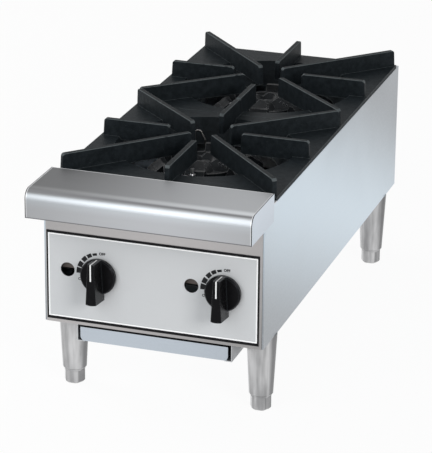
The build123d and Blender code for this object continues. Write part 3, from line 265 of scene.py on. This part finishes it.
def castAluminium(name, look):
    # Rough cast legs: drawn marks along them, with painted light on faces turned left and painted shade on faces
    # turned right
    f = Finish(name)
    skin = f.noise(*castLook["skin"], roughness=castLook["skinRoughness"])
    patches = f.noise(*castLook["patches"], castLook["patchStretch"])
    drag = f.noise(*castLook["dragNoise"], look["drag"])
    tone = patches * castLook["patchShare"] + drag * (1 - castLook["patchShare"])
    shade = f.blend(f.between(tone, *castLook["tone"]), look["dark"], look["light"])
    # painted shade on faces turned right and painted light on faces turned left
    shadedRight = f.between(f.facing("X"), *castLook["rightSpan"])
    litLeft = f.between(f.facing("X"), *castLook["leftSpan"])
    shade = f.blend(shadedRight * castLook["rightShadeDepth"], shade, look["right"])
    shade = f.blend(litLeft * castLook["leftLightDepth"], shade, look["left"])
    rough = look["rough"] + (patches - 0.5) * castLook["patchRough"]
    relief = f.bump(skin * castLook["skinRelief"] + patches + drag * castLook["dragRelief"], look["relief"])
    return f.surface({"Base Color": shade, "Metallic": look["metal"], "Roughness": rough, "Normal": relief})


zincLook = {"clouds": (20, 3), "toneRough": 0.15, "grain": (300, 3)}


def galvanised(name, look):
    f = Finish(name)
    place = f.add("TexCoord", output="Object")
    spangle = f.add("TexVoronoi", values={"Vector": place, "Scale": look["spangle"]}, output="Color")
    tone = f.add("SeparateColor", values={0: spangle})
    clouds = f.noise(*zincLook["clouds"])
    shade = f.blend(tone * 0.5 + clouds * 0.5, look["dark"], look["light"])
    rough = look["rough"] + tone * zincLook["toneRough"]
    return f.surface({"Base Color": shade, "Metallic": look["metal"], "Roughness": rough,
                      "Normal": f.bump(f.noise(*zincLook["grain"]), look["relief"])})


turnedLook = {"markDetail": 3, "markRough": 0.12, "stain": (60, 3), "stainSpan": (0.35, 0.7)}


def turnedMetal(name, look):
    # machined brass, zinc screws, drawn tube and bright pilot parts
    f = Finish(name)
    marks = f.noise(look["marks"], turnedLook["markDetail"])
    stain = f.between(f.noise(*turnedLook["stain"]), *turnedLook["stainSpan"])
    rough = look["rough"] + marks * turnedLook["markRough"]
    return f.surface({"Base Color": f.blend(stain, look["light"], look["dark"]), "Metallic": 1.0,
                      "Roughness": rough, "Normal": f.bump(marks, look["relief"])})


pipeLook = {"scale": (260, 4), "scaleRough": 0.3, "chipEdge": (0.001, 0.05, 0.3), "chips": (500, 3),
            "chipSpan": (0.45, 0.6), "chipDepth": 0.6}


def paintedPipe(name, look):
    # black pipe, chipped to bare metal along its edges
    f = Finish(name)
    scale = f.noise(*pipeLook["scale"])
    chips = f.edges(*pipeLook["chipEdge"]) * f.between(f.noise(*pipeLook["chips"]), *pipeLook["chipSpan"])
    shade = f.blend(scale, look["dark"], look["light"])
    shade = f.blend(chips * pipeLook["chipDepth"], shade, look["bare"])
    rough = look["rough"] + (scale - 0.5) * pipeLook["scaleRough"]
    return f.surface({"Base Color": shade, "Roughness": rough, "Normal": f.bump(scale, look["relief"])})


plasticLook = {"grainDetail": 3, "handling": (45, 3), "handlingRough": 0.2,
               "paintedEdgeSpan": (0.0018, 0.008, 0.16)}


def mouldedPlastic(name, look):
    # grained plastic, with its edges painted in the edge colour
    f = Finish(name)
    grain = f.noise(look["grain"], plasticLook["grainDetail"])
    handling = f.noise(*plasticLook["handling"])
    # painted edges: on the knobs a paler painted highlight, on the pointer a slightly darker edge colour
    paintedEdgeMask = f.edges(*plasticLook["paintedEdgeSpan"]) * look["paintedEdge"]
    shade = f.blend(paintedEdgeMask, f.blend(handling, look["dark"], look["light"]), look["edge"])
    rough = look["rough"] + (handling - 0.5) * plasticLook["handlingRough"]
    return f.surface({"Base Color": shade, "Roughness": rough, "Specular IOR Level": look["shine"],
                      "Specular Tint": look["tint"], "Normal": f.bump(grain, look["relief"])})


# The printed film: grey field, black border and a white line just inside it
overlayPrint = {"field": (0.575, 0.585, 0.595), "black": (0.008, 0.008, 0.009), "white": (0.93, 0.93, 0.93),
                "side": 0.0023, "top": 0.0034, "bottom": 0.0040, "line": 0.0018, "rough": 0.45, "shine": 0.1,
                "grain": (500, 3), "grainShare": 0.25, "grainRough": 0.15, "clouds": (12, 2),
                "cloudShare": 0.2, "dimmer": 0.9, "relief": 0.00003}


def printedFilm(name, look):
    f = Finish(name)
    low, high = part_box("control_overlay")
    middle = (Vector(low) + Vector(high)) / 2
    half = (Vector(high) - Vector(low)) / 2
    x, y, z = f.axes()
    out = []
    for line in (0, look["line"]):
        sideways = abs(x - middle.x) > half.x - look["side"] - line
        above = z > high[2] - look["top"] - line
        below = z < low[2] + look["bottom"] + line
        out.append(sideways | above | below)
    ink = f.noise(*look["grain"])
    tone = ink * look["grainShare"] + f.noise(*look["clouds"]) * look["cloudShare"]
    field = f.blend(tone, look["field"], tuple(v * look["dimmer"] for v in look["field"]))
    shade = f.blend(out[0], f.blend(out[1], field, look["white"]), look["black"])
    return f.surface({"Base Color": shade, "Roughness": look["rough"] + (ink - 0.5) * look["grainRough"],
                      "Specular IOR Level": look["shine"], "Normal": f.bump(ink, look["relief"])})


steelGrain = {"alongX": (14, 700, 700), "alongY": (700, 9, 700)}
finishes = {
    # sheet steels: slope, crest and reach place a painted sheen, from dark to light, across each sheet
    "side_steel": sheetSteel("sideSteel", {
        "grain": steelGrain["alongY"], "slope": (0, 0.4436, 1), "crest": 0.190, "reach": 0.215,
        "dark": (0.270, 0.290, 0.312), "light": (0.58, 0.675, 0.75), "pale": (0.70, 0.74, 0.78),
        "streak": 0.12, "mottle": 0.10, "rough": 0.34, "spread": 0.12, "metal": 1.0, "relief": 0.00002}),
    "panel_steel": sheetSteel("panelSteel", {
        "grain": steelGrain["alongX"], "slope": (1, 0, -1.14), "crest": -0.265, "reach": 0.32,
        "dark": (0.28, 0.275, 0.275), "light": (0.43, 0.415, 0.415), "pale": (0.58, 0.56, 0.56),
        "streak": 0.13, "mottle": 0.05, "rough": 0.36, "spread": 0.12, "metal": 1.0, "relief": 0.00002}),
    # ledge steel: its colours paint reflections, a highlight on the roll, a dark band, bright edge lines and a
    # shadow at the hem
    "ledge_steel": ledgeSteel("ledgeSteel", {
        "grain": steelGrain["alongX"], "span": (-0.17, 0.16), "crest": 0.03, "reach": 0.24,
        "rear": ((0.085, 0.087, 0.090), (0.35, 0.36, 0.375)),
        "near": ((0.155, 0.157, 0.16), (0.56, 0.58, 0.60)),
        "nearEdge": (-0.356, -0.367), "front": ((0.31, 0.315, 0.325), (0.43, 0.44, 0.46)),
        "roll": ((0.34, 0.36, 0.38), (0.50, 0.53, 0.56)), "rollFoot": (0.286, 0.302),
        "rollTop": (0.3035, 0.3095), "hem": (0.2740, 0.2754), "hemPaintedShadow": (0.16, 0.163, 0.17),
        "fold": -0.3740, "foldReach": 0.0042, "foldShade": (0.20, 0.202, 0.21),
        "endEdge": (0.1500, 0.1506), "rearEdge": (-0.2882, -0.2872), "edgeHighlight": (0.66, 0.67, 0.68),
        "pale": (0.62, 0.63, 0.64), "streak": 0.12, "rough": 0.44, "spread": 0.12, "relief": 0.00002}),
    "tray_steel": sheetSteel("traySteel", {
        "grain": steelGrain["alongX"], "slope": (1, 0, 0), "crest": -0.05, "reach": 0.30,
        "dark": (0.38, 0.415, 0.46), "light": (0.47, 0.52, 0.575), "pale": (0.60, 0.65, 0.70),
        "streak": 0.13, "mottle": 0.08, "rough": 0.34, "spread": 0.12, "metal": 1.0, "relief": 0.00002}),
    "inner_steel": galvanised("innerSteel", {
        "spangle": 90, "dark": (0.38, 0.39, 0.40), "light": (0.56, 0.57, 0.58),
        "rough": 0.38, "metal": 0.9, "relief": 0.00005}),
    # cap steel: a painted sheen, and its rim painted near black as a painted shadow in the seam
    "cap_steel": sheetSteel("capSteel", {
        "grain": steelGrain["alongY"], "slope": (0, 0, 1), "crest": 0.315, "reach": 0.06,
        "dark": (0.50, 0.555, 0.62), "light": (0.57, 0.63, 0.70), "pale": (0.72, 0.76, 0.80),
        "streak": 0.12, "mottle": 0.10, "rim": (0.03, 0.03, 0.032), "rough": 0.36, "spread": 0.12,
        "metal": 1.0, "relief": 0.00002}),
    # painted shade: the sight baffles are darkened for the dim space behind the panel
    "shaded_steel": galvanised("shadedSteel", {
        "spangle": 60, "dark": (0.075, 0.064, 0.060), "light": (0.120, 0.104, 0.098),
        "rough": 0.5, "metal": 0.8, "relief": 0.00005}),
    "overlay_print": printedFilm("overlayPrint", overlayPrint),
    # knob plastic: edge is a painted highlight along the knob's edges
    "knob_plastic": mouldedPlastic("knobPlastic", {
        "grain": 1400, "dark": (0.003, 0.003, 0.0035), "light": (0.006, 0.006, 0.0065),
        "edge": (0.036, 0.041, 0.046), "paintedEdge": 1.0, "rough": 0.26, "shine": 0.50,
        "tint": (0.10, 0.10, 0.11), "relief": 0.00004}),
    "pointer_white": mouldedPlastic("pointerWhite", {
        "grain": 900, "dark": (0.80, 0.80, 0.79), "light": (0.88, 0.88, 0.87), "edge": (0.7, 0.7, 0.7),
        "paintedEdge": 0.2, "rough": 0.4, "shine": 0.4, "tint": (1, 1, 1), "relief": 0.00003}),
    # grate and burner iron: bright is the colour of worn edges and painted highlights, and on the burners also of
    # painted light on faces turned left; ribTop sets level tops painted dark as painted shade
    "grate_iron": castIron("grateIron", {
        "pits": 900, "lumps": 120, "dark": (0.0068, 0.0092, 0.0108), "light": (0.0150, 0.0190, 0.0220),
        "bright": (0.095, 0.108, 0.112), "edge": 0.0014, "wearAndHighlight": 0.85, "rough": 0.50, "shine": 0.06,
        "ribFoot": 0.304, "ribTop": 0.322, "paintedLeftLight": 0.0, "relief": 0.00030}),
    "burner_iron": castIron("burnerIron", {
        "pits": 700, "lumps": 150, "dark": (0.0035, 0.0045, 0.0055), "light": (0.0100, 0.0120, 0.0140),
        "bright": (0.30, 0.31, 0.32), "edge": 0.0009, "wearAndHighlight": 0.8, "rough": 0.36, "shine": 0.10,
        "ribFoot": 1.0, "ribTop": 1.0, "paintedLeftLight": 0.10, "relief": 0.00025}),
    # leg colours: right is painted shade for faces turned right, left is painted light for faces turned left
    "leg_metal": castAluminium("legMetal", {
        "dark": (0.24, 0.24, 0.245), "light": (0.60, 0.60, 0.605), "right": (0.13, 0.13, 0.134),
        "left": (0.74, 0.74, 0.75), "drag": (160, 160, 9), "rough": 0.38, "metal": 0.9, "relief": 0.0003}),
    "brass": turnedMetal("brass", {
        "marks": 500, "light": (0.72, 0.52, 0.22), "dark": (0.48, 0.33, 0.14),
        "rough": 0.26, "relief": 0.00004}),
    "pipe_black": paintedPipe("pipeBlack", {
        "dark": (0.018, 0.018, 0.02), "light": (0.045, 0.045, 0.05), "bare": (0.32, 0.30, 0.28),
        "rough": 0.45, "relief": 0.0001}),
    "pilot_tube": turnedMetal("pilotTube", {
        "marks": 300, "light": (0.34, 0.33, 0.33), "dark": (0.15, 0.145, 0.14),
        "rough": 0.30, "relief": 0.00003}),
    "fastener": turnedMetal("fastener", {
        "marks": 700, "light": (0.66, 0.66, 0.66), "dark": (0.45, 0.45, 0.45),
        "rough": 0.30, "relief": 0.00004}),
    "pilot_chrome": turnedMetal("pilotChrome", {
        "marks": 400, "light": (0.92, 0.92, 0.93), "dark": (0.70, 0.70, 0.71),
        "rough": 0.24, "relief": 0.00004}),
}

# nodes that look unlike the rest of their slot
ownFinish = {"sight_baffles": "shaded_steel", "ledge_cap_left": "cap_steel", "ledge_cap_right": "cap_steel"}
for part in frame["record"]["subparts"]:
    node = nodes[part["node"]]
    look = ownFinish.get(part["node"], part["material_slot"])
    for slot in node.material_slots:
        slot.link = "OBJECT"
        slot.material = finishes[look]
print("CAD nodes dressed")


# Print round the knobs: black blocks that grow away from the word OFF, and a small ring
dialPrint = {"ink": (0.010, 0.010, 0.011), "middle": 0.0290, "proud": 0.00006,
             "blocks": ((102.7, 6.2, 0.0034), (118.7, 6.8, 0.0052), (135.6, 7.2, 0.0060),
                        (155.0, 7.8, 0.0064), (173.0, 7.6, 0.0066)),
             "word": "OFF", "wordAngle": 91.0, "wordReach": 0.0299, "wordSize": 0.0050, "wordWeight": 0.00022,
             "ringAngle": 197.0, "ringRadius": 0.0016, "ringWidth": 0.0008, "steps": 8,
             "speckle": (900, 3), "paler": 2.2, "rough": 0.45, "speckleRough": 0.15, "shine": 0.1}


def flatPiece(name, outlines, y):
    # thin print on the overlay: each outline is a closed row of (x, z) points
    mesh = bpy.data.meshes.new(name)
    build = bmesh.new()
    for outline in outlines:
        face = build.faces.new([build.verts.new((x, y, z)) for x, z in outline])
        face.normal_update()
        if face.normal.y > 0:
            face.normal_flip()
    build.to_mesh(mesh)
    build.free()
    piece = bpy.data.objects.new(name, mesh)
    bpy.context.scene.collection.objects.link(piece)
    return piece


def printInk(name, look):
    f = Finish(name)
    speckle = f.noise(*look["speckle"])
    shade = f.blend(speckle, look["ink"], tuple(v * look["paler"] for v in look["ink"]))
    rough = look["rough"] + speckle * look["speckleRough"]
    return f.surface({"Base Color": shade, "Roughness": rough, "Specular IOR Level": look["shine"]})


def arcBlock(middle, angle, spread, thick, reach, steps):
    # a block of ring between two angles, in degrees
    x, z = middle
    turns = [radians(angle - spread + 2 * spread * step / steps) for step in range(steps + 1)]
    inner, outer = reach - thick / 2, reach + thick / 2
    near = [(x + inner * cos(turn), z + inner * sin(turn)) for turn in turns]
    far = [(x + outer * cos(turn), z + outer * sin(turn)) for turn in reversed(turns)]
    return near + far


ink = printInk("printInk", dialPrint)
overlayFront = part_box("control_overlay")[0][1]
for side in ("left", "right"):
    joint = next(j for j in frame["joints"] if j["name"] == "knob_" + side + "_turn")
    middle = (joint["pos_m"][0], joint["pos_m"][2])
    look = dialPrint
    outlines = [arcBlock(middle, angle, spread, thick, look["middle"], look["steps"])
                for angle, spread, thick in look["blocks"]]
    turn = radians(look["ringAngle"])
    centre = (middle[0] + look["middle"] * cos(turn), middle[1] + look["middle"] * sin(turn))
    for half in (0, 180):
        outlines.append(arcBlock(centre, half, 90, look["ringWidth"], look["ringRadius"], look["steps"]))
    dial = flatPiece("dial_print_" + side, outlines, overlayFront - look["proud"])
    dial.data.materials.append(ink)
    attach(dial, "body")

    words = bpy.data.curves.new("dial_word_" + side, "FONT")
    words.body = look["word"]
    words.size = look["wordSize"]
    words.offset = look["wordWeight"]
    words.extrude = look["proud"]
    words.align_y = "CENTER"
    word = bpy.data.objects.new("dial_word_" + side, words)
    bpy.context.scene.collection.objects.link(word)
    turn = radians(look["wordAngle"])
    word.location = (middle[0] + look["wordReach"] * cos(turn), overlayFront - look["proud"],
                     middle[1] + look["wordReach"] * sin(turn))
    word.rotation_euler = (pi / 2, 0, 0)
    words.materials.append(ink)
    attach(word, "body")
print("dials printed")


# Floor, lamps, world and camera
floorLook = {"half": 30.0, "cells": 8, "drop": 0.0004, "shade": (0.80, 0.80, 0.80), "dimmer": 0.97,
             "mottle": (3, 3), "rough": 0.8, "mottleRough": 0.1, "lift": 0.94}


def paleFloor(name, look):
    f = Finish(name)
    mottle = f.noise(*look["mottle"])
    shade = f.blend(mottle, look["shade"], tuple(v * look["dimmer"] for v in look["shade"]))
    rough = look["rough"] + mottle * look["mottleRough"]
    lit = f.add("BsdfPrincipled", values={"Base Color": shade, "Roughness": rough})
    glow = f.add("Emission", values={"Color": (1, 1, 1), "Strength": 1.0})
    mixed = f.add("MixShader", values={0: f.seen() * look["lift"], 1: lit, 2: glow})
    f.add("OutputMaterial", values={"Surface": mixed})
    return f.material


floorMesh = bpy.data.meshes.new("floor")
build = bmesh.new()
bmesh.ops.create_grid(build, x_segments=floorLook["cells"], y_segments=floorLook["cells"],
                      size=floorLook["half"])
bmesh.ops.translate(build, verts=build.verts, vec=(0, 0, -floorLook["drop"]))
build.to_mesh(floorMesh)
build.free()
floor = bpy.data.objects.new("floor", floorMesh)
bpy.context.scene.collection.objects.link(floor)
floorMesh.materials.append(paleFloor("paleFloor", floorLook))

lamps = {
    "frontWall": {"place": (-1.1, -3.3, 1.8), "size": (3.0, 3.4), "power": 55, "tint": (0.96, 0.985, 1)},
    "rightFront": {"place": (2.7, -2.6, 1.6), "size": (1.2, 1.2), "power": 60, "tint": (1, 0.99, 0.98)},
    "leftBox": {"place": (-2.4, 0.4, 1.9), "size": (1.2, 1.2), "power": 30, "tint": (1, 0.99, 0.98)},
}
aimPoint = Vector((0, 0, 0.2))
for name, look in lamps.items():
    lamp = bpy.data.lights.new(name, "AREA")
    lamp.shape = "RECTANGLE"
    lamp.size, lamp.size_y = look["size"]
    lamp.energy = look["power"]
    lamp.color = look["tint"]
    holder = bpy.data.objects.new(name, lamp)
    holder.location = look["place"]
    holder.rotation_euler = (aimPoint - holder.location).to_track_quat("-Z", "Y").to_euler()
    bpy.context.scene.collection.objects.link(holder)

studioLook = {"air": (0.90, 0.92, 0.94), "strength": 0.42}


def studioWorld(name, look):
    # dim light from all round, and a white background for the camera and for reflections
    f = Finish(name, bpy.data.worlds.new(name))
    air = f.add("Background", values={"Color": look["air"], "Strength": look["strength"]})
    white = f.add("Background", values={"Color": (1, 1, 1), "Strength": 1.0})
    mixed = f.add("MixShader", values={0: f.seen(), 1: air, 2: white})
    f.add("OutputWorld", values={"Surface": mixed})
    return f.material


bpy.context.scene.world = studioWorld("studio", studioLook)

# The camera stands to the right of the front and looks down on the object; its angles are in degrees
cameraFit = {"place": (1.0246, -3.1848, 1.4203), "yaw": 18.151, "pitch": 20.878, "roll": 0.528,
             "focalPixels": 2531.0, "frameHeight": 453, "sensor": 36.0, "farthest": 100}


def addCamera(look):
    data = bpy.data.cameras.new("camera")
    data.sensor_width = look["sensor"]
    data.lens = look["focalPixels"] * look["sensor"] / look["frameHeight"]
    data.clip_end = look["farthest"]
    camera = bpy.data.objects.new("camera", data)
    camera.location = look["place"]
    yaw, pitch, roll = (radians(look[key]) for key in ("yaw", "pitch", "roll"))
    aim = Matrix.Rotation(yaw, 4, "Z") @ Matrix.Rotation(pi / 2 - pitch, 4, "X")
    camera.rotation_euler = (aim @ Matrix.Rotation(roll, 4, "Z")).to_euler()
    bpy.context.scene.collection.objects.link(camera)
    bpy.context.scene.camera = camera


addCamera(cameraFit)
bpy.context.scene.view_settings.view_transform = "Standard"
print("stage set")

bpy.context.view_layer.update()
